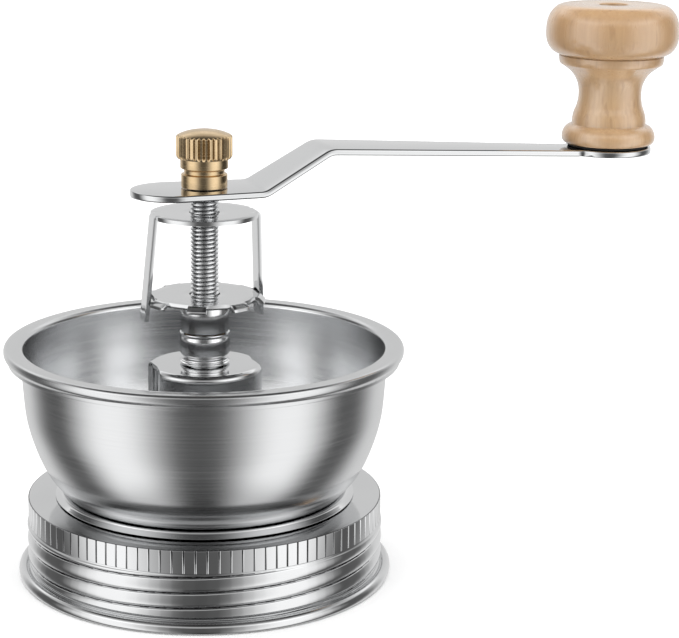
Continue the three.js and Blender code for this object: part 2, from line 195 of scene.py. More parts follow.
def lathe(name, outline, material, angles=None, relief=None, centre=(0, 0), closed=True, crease=32):
    """Turns an outline of (radius, height) points about Z.

    relief(angle, radius, height) gives a new radius, for ribs and teeth.
    """
    angles = angles or even_angles(160)
    rows = len(outline)
    verts = []
    for angle in angles:
        for radius, height in outline:
            if relief and radius > 0:
                radius = relief(angle, radius, height)
            x = centre[0] + radius * math.cos(angle)
            y = centre[1] + radius * math.sin(angle)
            verts.append((x, y, height))
    faces = []
    for i in range(len(angles)):
        here = i * rows
        there = (i + 1) % len(angles) * rows
        for j in range(rows if closed else rows - 1):
            up = (j + 1) % rows
            faces.append((here + j, there + j, there + up, here + up))
    return make_mesh(name, verts, faces, material, crease)


def grid_faces(columns, rows, wrap=False):
    """Quads of a grid whose vertices are listed row by row."""
    faces = []
    for row in range(rows - 1):
        low = row * columns
        high = low + columns
        for column in range(columns if wrap else columns - 1):
            beside = (column + 1) % columns
            faces.append((low + column, low + beside, high + beside, high + column))
    return faces


def thicken(piece, thickness, edge, crease=40):
    """Turns a middle surface into a sheet with rounded edges."""
    solidify = piece.modifiers.new("thickness", "SOLIDIFY")
    solidify.thickness = thickness * MM
    solidify.offset = 0
    bevel = piece.modifiers.new("edges", "BEVEL")
    bevel.width = edge * MM
    bevel.segments = 3
    bevel.limit_method = "ANGLE"
    bevel.angle_limit = math.radians(50)
    evaluated = piece.evaluated_get(bpy.context.evaluated_depsgraph_get())
    mesh = bpy.data.meshes.new_from_object(evaluated)
    piece.modifiers.clear()
    piece.data = mesh
    shade(mesh, crease)
    return piece


def second_material(piece, material, belongs):
    """Gives another material to the faces for which belongs(face) is true."""
    piece.data.materials.append(material)
    for face in piece.data.polygons:
        if belongs(face):
            face.material_index = 1


def axis_distance(face):
    """Distance of a face's centre from the Z axis, in millimetres."""
    return face.center.xy.length / MM


def follow(piece, node):
    """The piece moves with a CAD node's body."""
    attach(piece, BODY_OF[node])


def stand_in(piece, node):
    """The piece is shown instead of the CAD node."""
    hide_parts(node)
    follow(piece, node)
    return piece


# ---- Materials ----


def principled(name, color, roughness, metallic=0.0):
    material = bpy.data.materials.new(name)
    material.use_nodes = True
    shader = material.node_tree.nodes["Principled BSDF"]
    shader.inputs["Base Color"].default_value = (*color, 1)
    shader.inputs["Roughness"].default_value = roughness
    shader.inputs["Metallic"].default_value = metallic
    return material, shader


def link(material, value, socket):
    material.node_tree.links.new(value, socket)


def noise(material, scale, detail=2.0, roughness=0.5):
    """Noise over the object's own coordinates, with its own scale along X, Y and Z."""
    nodes = material.node_tree.nodes
    coordinates = nodes.new("ShaderNodeTexCoord")
    mapping = nodes.new("ShaderNodeMapping")
    mapping.inputs["Scale"].default_value = scale
    texture = nodes.new("ShaderNodeTexNoise")
    texture.inputs["Scale"].default_value = 1
    texture.inputs["Detail"].default_value = detail
    texture.inputs["Roughness"].default_value = roughness
    link(material, coordinates.outputs["Object"], mapping.inputs["Vector"])
    link(material, mapping.outputs["Vector"], texture.inputs["Vector"])
    return texture.outputs["Fac"]


def to_range(material, value, low, high, from_low=0.3, from_high=0.7):
    """Spreads the usual span of a noise over low to high."""
    mapped = material.node_tree.nodes.new("ShaderNodeMapRange")
    mapped.inputs["From Min"].default_value = from_low
    mapped.inputs["From Max"].default_value = from_high
    mapped.inputs["To Min"].default_value = low
    mapped.inputs["To Max"].default_value = high
    link(material, value, mapped.inputs["Value"])
    return mapped.outputs["Result"]


def mix_colors(material, factor, first, second):
    """Mix of two colours, each a plain colour or the output of a node."""
    mix = material.node_tree.nodes.new("ShaderNodeMix")
    mix.data_type = "RGBA"
    factor_input, first_input, second_input = mix.inputs[0], mix.inputs[6], mix.inputs[7]
    for socket, color in ((first_input, first), (second_input, second)):
        if isinstance(color, tuple):
            socket.default_value = (*color, 1)
        else:
            link(material, color, socket)
    link(material, factor, factor_input)
    return mix.outputs[2]


def vary_color(material, shader, texture, dark, light):
    """Base colour that goes from dark to light with a noise."""
    color = mix_colors(material, to_range(material, texture, 0, 1), dark, light)
    link(material, color, shader.inputs["Base Color"])


def vary_roughness(material, shader, texture, low, high):
    """Roughness that goes from low to high with a noise."""
    link(material, to_range(material, texture, low, high), shader.inputs["Roughness"])


def add_bump(material, shader, height, depth):
    """Bump of the given depth in millimetres."""
    bump = material.node_tree.nodes.new("ShaderNodeBump")
    bump.inputs["Strength"].default_value = 1
    bump.inputs["Distance"].default_value = depth * MM
    link(material, height, bump.inputs["Height"])
    link(material, bump.outputs["Normal"], shader.inputs["Normal"])


def brushed_about_axis(material, shader, strength):
    """Stretches the highlights across fine marks that run round the Z axis."""
    tangent = material.node_tree.nodes.new("ShaderNodeTangent")
    tangent.direction_type = "RADIAL"
    tangent.axis = "Z"
    shader.inputs["Anisotropic"].default_value = strength
    link(material, tangent.outputs["Tangent"], shader.inputs["Tangent"])


def scaled(color, tone):
    return tuple(tone * value for value in color)


def polished_steel(name, color):
    """Bright steel with faint smears and a slight waviness."""
    material, shader = principled(name, color, 0.07, metallic=1)
    vary_roughness(material, shader, noise(material, (60, 60, 60), detail=5), 0.05, 0.11)
    vary_color(material, shader, noise(material, (25, 25, 25), detail=2), scaled(color, 0.93), color)
    add_bump(material, shader, noise(material, (110, 110, 110), detail=1), 0.004)
    return material


def turned_steel(name, tone, roughness, mark_depth):
    """Satin steel with fine marks round the axis, for the bowl. tone scales its brightness."""
    material, shader = principled(name, (0.64, 0.645, 0.65), roughness, metallic=1)
    rings = noise(material, (14, 14, 5200), detail=3, roughness=0.6)
    vary_roughness(material, shader, rings, roughness - 0.04, roughness + 0.04)
    dark = scaled((0.62, 0.625, 0.63), tone)
    light = scaled((0.67, 0.675, 0.68), tone)
    vary_color(material, shader, rings, dark, light)
    add_bump(material, shader, rings, mark_depth)
    brushed_about_axis(material, shader, 0.45)
    return material


def machined_steel(name, tone, roughness):
    """Steel with a fine grain from the cutter. tone scales its brightness."""
    material, shader = principled(name, (0.6, 0.605, 0.61), roughness, metallic=1)
    grain = noise(material, (900, 900, 2600), detail=3)
    vary_roughness(material, shader, grain, roughness - 0.05, roughness + 0.05)
    dark = scaled((0.57, 0.575, 0.58), tone)
    light = scaled((0.64, 0.645, 0.65), tone)
    vary_color(material, shader, grain, dark, light)
    add_bump(material, shader, grain, 0.003)
    return material


def satin_brass():
    """Brass with fine turning marks and light stains."""
    material, shader = principled("satin_brass", (0.70, 0.52, 0.31), 0.22, metallic=1)
    marks = noise(material, (60, 60, 4200), detail=3)
    vary_roughness(material, shader, marks, 0.16, 0.28)
    stains = noise(material, (220, 220, 220), detail=3)
    vary_color(material, shader, stains, (0.62, 0.45, 0.255), (0.76, 0.575, 0.35))
    add_bump(material, shader, marks, 0.003)
    brushed_about_axis(material, shader, 0.3)
    return material


def sintered_bronze():
    """Porous bronze of plain bearings."""
    material, shader = principled("sintered_bronze", (0.42, 0.27, 0.13), 0.45, metallic=1)
    pores = noise(material, (2600, 2600, 2600), detail=2)
    vary_roughness(material, shader, pores, 0.35, 0.6)
    add_bump(material, shader, pores, 0.02)
    return material


def pale_wood():
    """Lacquered pale wood: growth bands, fine long fibres and short darker flecks, all along Z."""
    material, shader = principled("pale_wood", (0.66, 0.45, 0.25), 0.3)
    bands = noise(material, (60, 45, 9), detail=4, roughness=0.55)
    fibres = noise(material, (1100, 1100, 42), detail=3, roughness=0.6)
    flecks = noise(material, (620, 620, 150), detail=1)
    band_amount = to_range(material, bands, 0, 1)
    fibre_amount = to_range(material, fibres, 0, 0.4)
    fleck_amount = to_range(material, flecks, 0, 0.32, from_low=0.62, from_high=0.72)
    banded = mix_colors(material, band_amount, (0.44, 0.265, 0.13), (0.58, 0.39, 0.22))
    fibred = mix_colors(material, fibre_amount, banded, (0.36, 0.205, 0.095))
    flecked = mix_colors(material, fleck_amount, fibred, (0.29, 0.16, 0.075))
    link(material, flecked, shader.inputs["Base Color"])
    vary_roughness(material, shader, fibres, 0.26, 0.36)
    add_bump(material, shader, fibres, 0.012)
    shader.inputs["Coat Weight"].default_value = 1
    shader.inputs["Coat IOR"].default_value = 1.8
    shader.inputs["Coat Roughness"].default_value = 0.16
    shader.inputs["Subsurface Weight"].default_value = 0.06
    shader.inputs["Subsurface Radius"].default_value = (0.6, 0.35, 0.2)
    shader.inputs["Subsurface Scale"].default_value = 2 * MM
    return material


def white_ceramic():
    material, shader = principled("white_ceramic", (0.78, 0.77, 0.73), 0.4)
    grain = noise(material, (1500, 1500, 1500), detail=4)
    vary_color(material, shader, grain, (0.74, 0.725, 0.68), (0.83, 0.82, 0.79))
    vary_roughness(material, shader, grain, 0.32, 0.5)
    add_bump(material, shader, grain, 0.02)
    shader.inputs["Subsurface Weight"].default_value = 0.1
    shader.inputs["Subsurface Scale"].default_value = 1 * MM
    return material


def clear_silicone():
    material, shader = principled("clear_silicone", (0.74, 0.75, 0.76), 0.5)
    bloom = noise(material, (350, 350, 350), detail=3)
    vary_roughness(material, shader, bloom, 0.42, 0.6)
    add_bump(material, shader, bloom, 0.01)
    shader.inputs["Subsurface Weight"].default_value = 0.4
    shader.inputs["Subsurface Scale"].default_value = 2 * MM
    return material


def moulded_black(name, color, roughness):
    """Black plastic with a fine grain. On the knob washer its near-black is painted shade."""
    material, shader = principled(name, color, roughness)
    grain = noise(material, (1800, 1800, 1800), detail=2)
    vary_roughness(material, shader, grain, roughness - 0.08, roughness + 0.1)
    add_bump(material, shader, grain, 0.015)
    return material


STEEL = polished_steel("polished_steel", (0.69, 0.695, 0.70))
# Dark steel for the faces in the band's grooves: painted shade.
GROOVE_SHADE_STEEL = polished_steel("painted_groove_shade", (0.17, 0.17, 0.175))
BRIGHT_STEEL = polished_steel("bright_steel", (0.92, 0.925, 0.93))
BOWL_STEEL = turned_steel("turned_steel", 1, 0.19, mark_depth=0.0008)
# The bowl's inside: the same turned steel made brighter, as painted light.
INNER_LIT_STEEL = turned_steel("turned_steel_inside_painted_light", 1.33, 0.2, mark_depth=0.0003)
MACHINED = machined_steel("machined_steel", 1, 0.16)
# The thread's steel is the machined steel made lighter, for bright crests: painted light.
LIT_THREAD_STEEL = machined_steel("thread_steel_painted_light", 1.5, 0.28)
# Dark steel for the faces in the thread's roots: painted shade.
THREAD_ROOT_SHADE_STEEL = machined_steel("painted_thread_root_shade", 0.38, 0.4)
BRASS = satin_brass()
BRONZE = sintered_bronze()
WOOD = pale_wood()
CERAMIC = white_ceramic()
SILICONE = clear_silicone()
NYLON = moulded_black("black_nylon", (0.022, 0.022, 0.024), 0.45)
# The knob washer is a real part. Its near-black colour stands for the shadowed gap under the knob:
# painted shade.
WASHER_GAP_SHADE = moulded_black("black_fibre", (0.012, 0.012, 0.012), 0.7)


# ---- Screw band, gasket, foot ring and bowl ----

BAND_SIDE = 44.25  # radius of the knurled side
BAND_VALLEY = 43.9  # radius that the beads stand on
BAND_WALL = 43.2  # radius of the inside
BAND_HOLE = 24.6
BAND_SHEET = 0.8
KNURL_LOW = 14.4
KNURL_RIBS = 100
GROOVE_DEPTH = 0.36
GROOVE_SIDES = (0.08, 0.1)  # widths of a groove's two sides, as shares of a rib
BEADS_LOW = 2.5
BEADS_HIGH = 14.1
BEAD_HEIGHT = 3.8
BEAD_STARTS = 2
BEAD_CREST = 0.65
BEAD_GROOVE = 0.33  # depth of the groove between two beads
FRONT_GROOVE = 9.95  # height of such a groove at the front
BEAD_ROW = 0.12  # height of one row of faces


def knurl_angles():
    """Columns at the edges, walls and bottom of each groove, and one between two grooves."""
    before, after = GROOVE_SIDES
    places = (-0.5, -before, -before / 2, 0, after / 2, after)
    return [math.tau * (rib + place) / KNURL_RIBS for rib in range(KNURL_RIBS) for place in places]


def knurl_depth(angle):
    """Depth of the knurl: 0 on a rib, GROOVE_DEPTH at the bottom of a groove."""
    across = (angle * KNURL_RIBS / math.tau + 0.5) % 1 - 0.5
    before, after = GROOVE_SIDES
    width = after if across > 0 else before
    return GROOVE_DEPTH * max(0.0, 1 - abs(across) / width)


def bead_relief(angle, height):
    """How far the thread beads stand out. They run round as a screw with two starts."""
    turns_from_front = (angle + math.pi / 2) / math.tau
    place = ((height - FRONT_GROOVE) / BEAD_HEIGHT - BEAD_STARTS * turns_from_front) % 1
    fade = blend_step((BEADS_HIGH - height) / 0.8) * blend_step((height - BEADS_LOW) / 1.3)
    skew, groove_width = 0.8, 0.06
    crest = BEAD_CREST * math.sin(math.pi * place ** skew)
    groove = BEAD_GROOVE * math.exp(-((min(place, 1 - place) / groove_width) ** 2))
    return fade * (crest - groove)


def band_outline(span):
    """Section of the band, from its hole over the outside and back up the inside."""
    shoulder = soften([(BAND_SIDE - 3, span.high), (BAND_SIDE, span.high), (BAND_SIDE, KNURL_LOW)],
                      0.3, closed=False, steps=4)
    bead_rows = round((BEADS_HIGH - BEADS_LOW) / BEAD_ROW)
    beads = [(BAND_VALLEY, BEADS_HIGH - BEAD_ROW * i) for i in range(bead_rows + 1)]
    rim = span.radius
    rolled_rim = smooth_curve([
        (rim - 2.6, 2.35), (rim - 2.2, 2.55), (rim - 1.5, 2.78), (rim - 0.8, 2.65), (rim - 0.25, 2.1),
        (rim, 1.4), (rim - 0.15, 0.6), (rim - 0.6, 0.14), (rim - 1.3, 0)], 5)
    ceiling = span.high - BAND_SHEET
    return [
        (BAND_HOLE, span.high), *shoulder, (BAND_SIDE - 0.1, KNURL_LOW - 0.05), *beads, *rolled_rim,
        (BAND_WALL + 0.2, 1.2), (BAND_WALL, 2), (BAND_WALL, ceiling - 0.4), (BAND_WALL - 0.4, ceiling),
        (BAND_HOLE, ceiling),
    ]


def screw_band():
    """Band with a knurled side above two-start thread beads, and a rolled rim. Its grooves are painted
    dark, as painted shade.
    """
    span = Span("screw_band")
    sunk = 0.12  # deeper than this below its surface, a face lies in a groove

    def relief(angle, radius, height):
        if radius < BAND_SIDE - 0.5:
            return radius
        if height >= KNURL_LOW:
            return radius - knurl_depth(angle) * blend_step((span.high - height) / 0.3)
        if BEADS_LOW < height < BEADS_HIGH and radius <= BAND_SIDE:
            return radius + bead_relief(angle, height)
        return radius

    # The faces in the grooves take the dark steel, as painted shade in the grooves.
    def in_groove(face):
        surface = BAND_SIDE if face.center.z / MM > KNURL_LOW else BAND_VALLEY
        return BAND_SIDE - 0.75 < axis_distance(face) < surface - sunk

    band = lathe("screw_band_fine", band_outline(span), STEEL, knurl_angles(), relief)
    second_material(band, GROOVE_SHADE_STEEL, in_groove)
    stand_in(band, "screw_band")


def lid_gasket():
    span = Span("lid_gasket")
    stand_in(lathe("lid_gasket_fine", soften(ring_outline(36, span), 0.5), SILICONE), "lid_gasket")


def bowl_foot():
    """Flat ring with a flared outside."""
    span = Span("bowl_foot")
    mouth = 21.2
    neck = span.radius - 1.6
    edge = span.radius
    flare = smooth_curve([
        (neck - 0.3, span.high), (neck, span.high - 0.1), (neck + 0.3, span.high - 0.5),
        (edge - 0.5, span.low + 0.35), (edge, span.low + 0.1), (edge - 0.1, span.low)], 5)
    outline = [(mouth, span.low), (mouth, span.high), *flare]
    stand_in(lathe("bowl_foot_fine", outline, STEEL), "bowl_foot")


def bowl_centreline(span, sheet):
    """Middle line of the bowl's sheet, from the hole in its floor to the end of its rolled rim."""
    floor = span.low + sheet / 2
    top = span.high - sheet / 2
    rim = span.radius - sheet / 2
    mouth = 20.5
    wall_start = (35.9, 23.5)
    base = soften([(33.2, floor), (34.9, floor), wall_start], 1.0, closed=False, steps=5)
    wall = smooth_curve([
        wall_start, (38.9, 27.3), (41.7, 33.5), (43.7, 40.6), (44.5, 48.5), (44.8, 54.6)], 9)
    roll = soften([(44.85, 56.2), (44.95, top), (rim, top), (rim, 56.9), (48.2, 56.2), (48.05, 54.95)],
                  1.1, closed=False, steps=6)
    return [(mouth, floor), *base[:-1], *wall, *roll]


def hopper_bowl():
    """Spun bowl with a rolled rim. Its inside is painted brighter than its outside, as painted light."""
    span = Span("hopper_bowl")
    sheet = 0.8
    below_rim = 44.6  # radius where the inside of the wall ends

    def is_inside(face):
        outward = face.normal.x * face.center.x + face.normal.y * face.center.y
        faces_in = outward < 0 or face.normal.z > 0.9
        return faces_in and axis_distance(face) < below_rim

    outline = soften(sheet_outline(bowl_centreline(span, sheet), sheet), 0.2)
    bowl = lathe("hopper_bowl_fine", outline, BOWL_STEEL, even_angles(224))
    # Faces on the inside take the brighter steel: painted light.
    second_material(bowl, INNER_LIT_STEEL, is_inside)
    stand_in(bowl, "hopper_bowl")


# ---- Bridge, barrel, small rings and screws ----


def split_path(path, spacing):
    """The path with points added, so that none are further apart than about the spacing."""
    rows = []
    for start, end in zip(path, path[1:]):
        pieces = max(1, round(math.dist(start, end) / spacing))
        rows += rows_between(start, end, pieces)[:-1]
    rows.append(path[-1])
    return rows


def bearing_bridge():
    """Middle surface of the drum and its legs in two halves, each as wide as the strip that is left."""
    span = Span("bearing_bridge")
    sheet = 1.2
    drum = 13.8
    half_width = (span.right - span.left) / 2 - 0.02
    top = span.high - sheet / 2
    feet = span.low + sheet / 2
    path = soften([(4.8, top), (drum, top), (drum, 33), (23.5, feet), (span.radius - 0.1, feet)],
                  1.1, closed=False, steps=5)
    rows = split_path(path, 0.5)
    columns = 41
    verts = []
    faces = []
    for side in (1, -1):
        start = len(verts)
        for radius, height in rows:
            turn = math.asin(min(half_width, radius) / radius)
            for column in range(columns):
                angle = turn * (2 * column / (columns - 1) - 1)
                verts.append((radius * math.sin(angle), side * radius * math.cos(angle), height))
        faces += [tuple(start + i for i in face) for face in grid_faces(columns, len(rows))]
    bridge = make_mesh("bearing_bridge_fine", verts, faces, STEEL)
    stand_in(thicken(bridge, sheet, 0.12), "bearing_bridge")


def bearing_barrel():
    """Barrel with two small rings at its foot and a bulge above them."""
    span = Span("bearing_barrel")
    base = span.high - 7.8
    top = span.high
    bore = 3.8
    bush_bore = 4.7
    washer_bore = 5.2
    rings = smooth_curve(raised([
        (6.0, 0), (6.15, 0.15), (6.15, 0.45), (5.85, 0.65), (5.85, 0.9), (5.65, 1.1), (5.6, 1.8),
        (5.75, 2.0)], base), 3)
    bulge = smooth_curve(raised([
        (5.75, 2.05), (6.05, 2.3), (6.12, 2.7), (6.18, 4.4), (6.12, 6.0), (5.98, 6.9), (5.98, 7.15),
        (6.18, 7.45), (6.15, 7.8)], base), 5)
    outline = [
        (bore, span.low), (4.6, span.low), (4.6, base), *rings, *bulge,
        (washer_bore, top), (washer_bore, top - 1), (bush_bore, top - 1), (bush_bore, base + 0.8),
        (bore, base + 0.8),
    ]
    stand_in(lathe("bearing_barrel_fine", outline, BRIGHT_STEEL), "bearing_barrel")


def small_rings():
    """Bush, washers and hub: plain rings with rounded edges."""
    for node, inside, edge, material in (
        ("bearing_bush", 3.3, 0.15, BRONZE),
        ("thrust_washer", 3.8, 0.12, BRONZE),
        ("spring_seat", 3.3, 0.15, MACHINED),
        ("burr_driver", 3.3, 0.25, MACHINED),
        ("burr_washer", 2.8, 0.2, MACHINED),
        # The washer's near-black is painted shade for the gap under the knob.
        ("knob_washer", 2.2, 0.12, WASHER_GAP_SHADE),
        ("adjuster_hub", 3.8, 0.25, BRIGHT_STEEL),
    ):
        span = Span(node)
        outline = soften(ring_outline(inside, span), edge)
        ring = lathe(f"{node}_fine", outline, material, even_angles(96), centre=(span.x, span.y))
        stand_in(ring, node)


def hexagon(angle, corner_radius):
    """Distance from the axis to the side of a hexagon."""
    from_middle = angle % (math.pi / 3) - math.pi / 6
    return corner_radius * math.cos(math.pi / 6) / math.cos(from_middle)


def carrier_screws():
    """Pan heads with a hexagon socket."""
    socket = 1.35
    thread = 1.5
    for i in range(1, 5):
        node = f"carrier_screw_{i}"
        span = Span(node)
        seat = span.high - 1.7
        head = smooth_curve([
            (span.radius, seat + 0.25), (span.radius - 0.05, seat + 0.8),
            (span.radius - 0.7, seat + 1.35), (socket + 0.45, span.high - 0.02)], 4)
        outline = [
            (0, span.low), (thread - 0.2, span.low), (thread, span.low + 0.4), (thread, seat),
            (span.radius - 0.2, seat), *head,
            (socket, span.high - 0.1), (socket, span.high - 1.1), (0, span.high - 1.2),
        ]

        def relief(angle, radius, height, seat=seat):
            if height > seat and radius <= socket:
                return hexagon(angle, socket)
            return radius

        centre = (span.x, span.y)
        screw = lathe(f"{node}_fine", outline, STEEL, even_angles(48), relief, centre, closed=False)
        stand_in(screw, node)


# ---- Burrs, carrier, spring and lower nut ----

THROAT = 11  # height where the burrs change from coarse to fine teeth


def burr_carrier():
    """Cup with a flange, which holds the outer burr."""
    span = Span("burr_carrier")
    hole, cup, side = 19.6, 24.3, 26.3
    ledge = 4.2
    shoulder = span.high - 2.5
    outline = [
        (hole, span.low), (side, span.low), (side, shoulder), (span.radius, shoulder),
        (span.radius, span.high), (cup, span.high), (cup, ledge), (hole, ledge),
    ]
    stand_in(lathe("burr_carrier_fine", soften(outline, 0.5), NYLON), "burr_carrier")


def saw(value):
    """Saw tooth from 0 to 1: a slow rise and a quick drop."""
    rise = 0.8
    value %= 1
    return value / rise if value < rise else (1 - value) / (1 - rise)


def outer_burr():
    """Ring whose inside carries slanted teeth that get shallower towards the bottom."""
    span = Span("outer_burr")
    teeth, slant = 24, 30
    shallow, deeper = 0.35, 1.0
    bite = 19.9  # radius inside which the teeth are cut
    outside = soften([
        (20.3, span.low), (span.radius, span.low), (span.radius, span.high), (20.6, span.high)],
        0.4, closed=False)
    above = rows_between((19.8, span.high), (16.5, THROAT), 14)
    below = rows_between((16.5, THROAT), (18.8, span.low), 14)

    def relief(angle, radius, height):
        if radius > bite:
            return radius
        depth = shallow + deeper * blend_step((height - span.low) / (span.high - span.low))
        return radius + depth * saw(teeth * angle / math.tau + height / slant)

    burr = lathe("outer_burr_fine", [*outside, *above, *below[1:]], CERAMIC, even_angles(480), relief)
    stand_in(burr, "outer_burr")


def inner_burr():
    """Cone with deep spiral ridges above and fine slanted teeth below the throat."""
    span = Span("inner_burr")
    ridges, ridge_depth, ridge_slant = 6, 1.5, 26
    teeth, tooth_depth, tooth_slant = 36, 0.35, 24
    bore, seat = 3.3, 7.2
    neck = 18
    recess = span.low + 3.6
    skirt = rows_between((span.radius, span.low + 0.3), (15.5, THROAT), 16)
    cone = rows_between((15.5, THROAT), (9.5, neck), 14)
    tip = rows_between((9.5, neck), (7, span.high), 6)
    outline = [
        (bore, recess), (seat, recess), (seat, span.low), (span.radius - 0.4, span.low),
        *skirt, *cone[1:], *tip[1:], (bore, span.high),
    ]

    def relief(angle, radius, height):
        if radius <= seat and height < neck or radius <= bore:
            return radius
        turns = angle / math.tau
        below = blend_step((THROAT + 2 - height) / 3)
        above = blend_step((height - THROAT + 3) / 5)
        fine = tooth_depth * saw(teeth * turns - height / tooth_slant) * below
        coarse = ridge_depth * saw(ridges * turns - height / ridge_slant) * above
        return radius - fine - coarse

    stand_in(lathe("inner_burr_fine", outline, CERAMIC, even_angles(432), relief), "inner_burr")


def burr_nut():
    """Hexagon nut with chamfered corners."""
    span = Span("burr_nut")
    bore, face_radius, corner_radius = 2.8, 4.3, 4.6
    outline = soften([
        (bore, span.low), (face_radius, span.low), (corner_radius, span.low + 0.5),
        (corner_radius, span.high - 0.5), (face_radius, span.high), (bore, span.high)], 0.1)

    def relief(angle, radius, height):
        return min(radius, hexagon(angle, corner_radius)) if radius > bore + 0.2 else radius

    stand_in(lathe("burr_nut_fine", outline, MACHINED, even_angles(96), relief), "burr_nut")


def burr_spring():
    """Wire spring with closed ends and open coils between them."""
    span = Span("burr_spring")
    wire = 0.55  # half the wire's thickness
    coil = span.radius - wire
    low, high = span.low + wire, span.high - wire
    turns, per_turn, sides = 7, 40, 12
    closed_ends = 0.9  # turns at each end that lie almost flat
    count = turns * per_turn
    verts = []
    for i in range(count + 1):
        turn = i / per_turn
        open_part = clamp((turn - closed_ends) / (turns - 2 * closed_ends))
        rise = 0.25 * blend_step(turn / turns) + 0.75 * open_part
        height = low + (high - low) * rise
        angle = math.tau * turn
        for around in even_angles(sides):
            radius = coil + wire * math.cos(around)
            level = height + wire * math.sin(around)
            verts.append((radius * math.cos(angle), radius * math.sin(angle), level))
    faces = grid_faces(sides, count + 1, wrap=True)
    faces += [tuple(range(sides)), tuple(count * sides + i for i in range(sides))]
    spring = stand_in(make_mesh("burr_spring_fine", verts, faces, MACHINED, 50), "burr_spring")
    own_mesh(spring)


# ---- Adjusting wheel and lock clip: discs with bent tabs ----

TAB_COLUMNS = 5
DISC_RINGS = 5


def tabbed_rim(radius, tabs, half_width, notch_depth):
    """Points round a disc as (angle, distance, shift to the side), and the point numbers of each tab."""
    rim = []
    roots = []
    half_turn = math.asin(half_width / radius)
    for i, (angle, path) in enumerate(tabs):
        roots.append(range(len(rim), len(rim) + TAB_COLUMNS))
        for column in range(TAB_COLUMNS):
            rim.append((angle, path[0][0], half_width * (2 * column / (TAB_COLUMNS - 1) - 1)))
        next_angle = tabs[i + 1][0] if i + 1 < len(tabs) else tabs[0][0] + math.tau
        start = angle + half_turn
        gap = next_angle - half_turn - start
        gap_columns = max(6, round(gap * radius / 1.2))
        for column in range(1, gap_columns):
            t = column / gap_columns
            dip = notch_depth * blend_step(min(t, 1 - t) * 4)
            rim.append((start + gap * t, radius - dip, 0))
    return rim, roots


def at_place(angle, out, side):
    """Point at a distance along an angle, shifted to the side."""
    x = out * math.cos(angle) - side * math.sin(angle)
    y = out * math.sin(angle) + side * math.cos(angle)
    return x, y


def tabbed_disc(name, hole, radius, level, tabs, half_width, thickness, edge, notch_depth=0.0):
    """Sheet disc with a bent tab at each (angle, path) of tabs.

    A path is a line of (distance, height) points from the tab's root outward. Between the tabs the
    rim dips inward by notch_depth.
    """
    rim, roots = tabbed_rim(radius, tabs, half_width, notch_depth)
    verts = []
    for ring in range(DISC_RINGS):
        t = ring / (DISC_RINGS - 1)
        for point in rim:
            x, y = at_place(*point)
            reach = math.hypot(x, y)
            scale = (hole + (reach - hole) * t) / reach
            verts.append((x * scale, y * scale, level))
    faces = grid_faces(len(rim), DISC_RINGS, wrap=True)
    outer_ring = (DISC_RINGS - 1) * len(rim)
    for (angle, path), root in zip(tabs, roots):
        previous = [outer_ring + i for i in root]
        for out, height in path[1:]:
            current = [len(verts) + column for column in range(TAB_COLUMNS)]
            verts += [(*at_place(angle, out, rim[i][2]), height) for i in root]
            for k in range(TAB_COLUMNS - 1):
                faces.append((previous[k], previous[k + 1], current[k + 1], current[k]))
            previous = current
    return thicken(make_mesh(name, verts, faces, STEEL), thickness, edge)


def adjusting_wheel():
    """Disc with eight short tabs bent down, and shallow notches between them."""
    span = Span("adjusting_wheel")
    sheet, hole, disc, half_width = 1.2, 3.8, 13.1, 2.25
    level = span.high - sheet / 2
    tip = span.radius - 0.75
    bend = soften([(12.75, level), (13.35, level), (tip, span.low + 0.75), (tip + 0.15, span.low + 0.3)],
                  0.6, closed=False, steps=4)
    tab_count = 8
    tabs = [(math.tau * (i + 0.5) / tab_count, bend) for i in range(tab_count)]
    wheel = tabbed_disc("adjusting_wheel_fine", hole, disc, level, tabs, half_width, sheet, edge=0.1,
                        notch_depth=0.3)
    stand_in(wheel, "adjusting_wheel")


def lock_clip():
    """Disc with a strap on each side. The left strap leans outward more."""
    span = Span("lock_clip")
    sheet, hole, disc, half_width = 1.0, 3.75, 13.2, 2.7
    level = span.high - sheet / 2
    inset = sheet / 2 + 0.02
    straps = []
    for angle, bend, foot in ((0.0, 13.2, span.right - inset), (math.pi, 12.7, -span.left - inset)):
        path = [(11.6, level), (bend, level), (foot, span.low + 0.05)]
        straps.append((angle, soften(path, 1.6, closed=False, steps=6)))
    clip = tabbed_disc("lock_clip_fine", hole, disc, level, straps, half_width, sheet, edge=0.18)
    stand_in(clip, "lock_clip")


# ---- Shaft, arm and cap nut ----

PITCH = 1.04
THREAD_BOTTOM = 62.0
THREAD_TOP = 95.6
THREAD_DEPTH = 0.62


def thread_profile(phase, crest, root):
    """Radius of a thread at a place along its pitch, with flat crests and rounded roots."""
    height = clamp((1.25 - 2.5 * abs(phase % 1 - 0.5)) / 0.85)
    return root + (crest - root) * blend_step(height)


def shaft_thread(span):
    """Right-handed thread whose rows of faces follow the helix."""
    columns = 72
    rows_per_pitch = 10
    rows = round((THREAD_TOP - THREAD_BOTTOM) / PITCH * rows_per_pitch) + rows_per_pitch + 1
    dark_below = span.radius - 0.42
    verts = []
    for row in range(rows):
        for column in range(columns):
            angle = math.tau * column / columns
            lead = PITCH * column / columns
            along = THREAD_BOTTOM + PITCH * row / rows_per_pitch - PITCH + lead
            height = clamp(along, THREAD_BOTTOM, THREAD_TOP)
            fade = blend_step((height - THREAD_BOTTOM) / 0.5) * blend_step((THREAD_TOP - height) / 0.3)
            root = span.radius - THREAD_DEPTH * fade
            radius = thread_profile((height - lead) / PITCH, span.radius, root)
            verts.append((radius * math.cos(angle), radius * math.sin(angle), height))
    faces = grid_faces(columns, rows, wrap=True)
    faces += [tuple(range(columns)), tuple(range(len(verts) - columns, len(verts)))]
    # The thread is painted lighter than the machined steel: painted light.
    thread = make_mesh("drive_shaft_thread", verts, faces, LIT_THREAD_STEEL, 60)
    # Faces near the thread's roots take the dark steel: painted shade in the roots.
    second_material(thread, THREAD_ROOT_SHADE_STEEL, lambda face: axis_distance(face) < dark_below)
    return thread


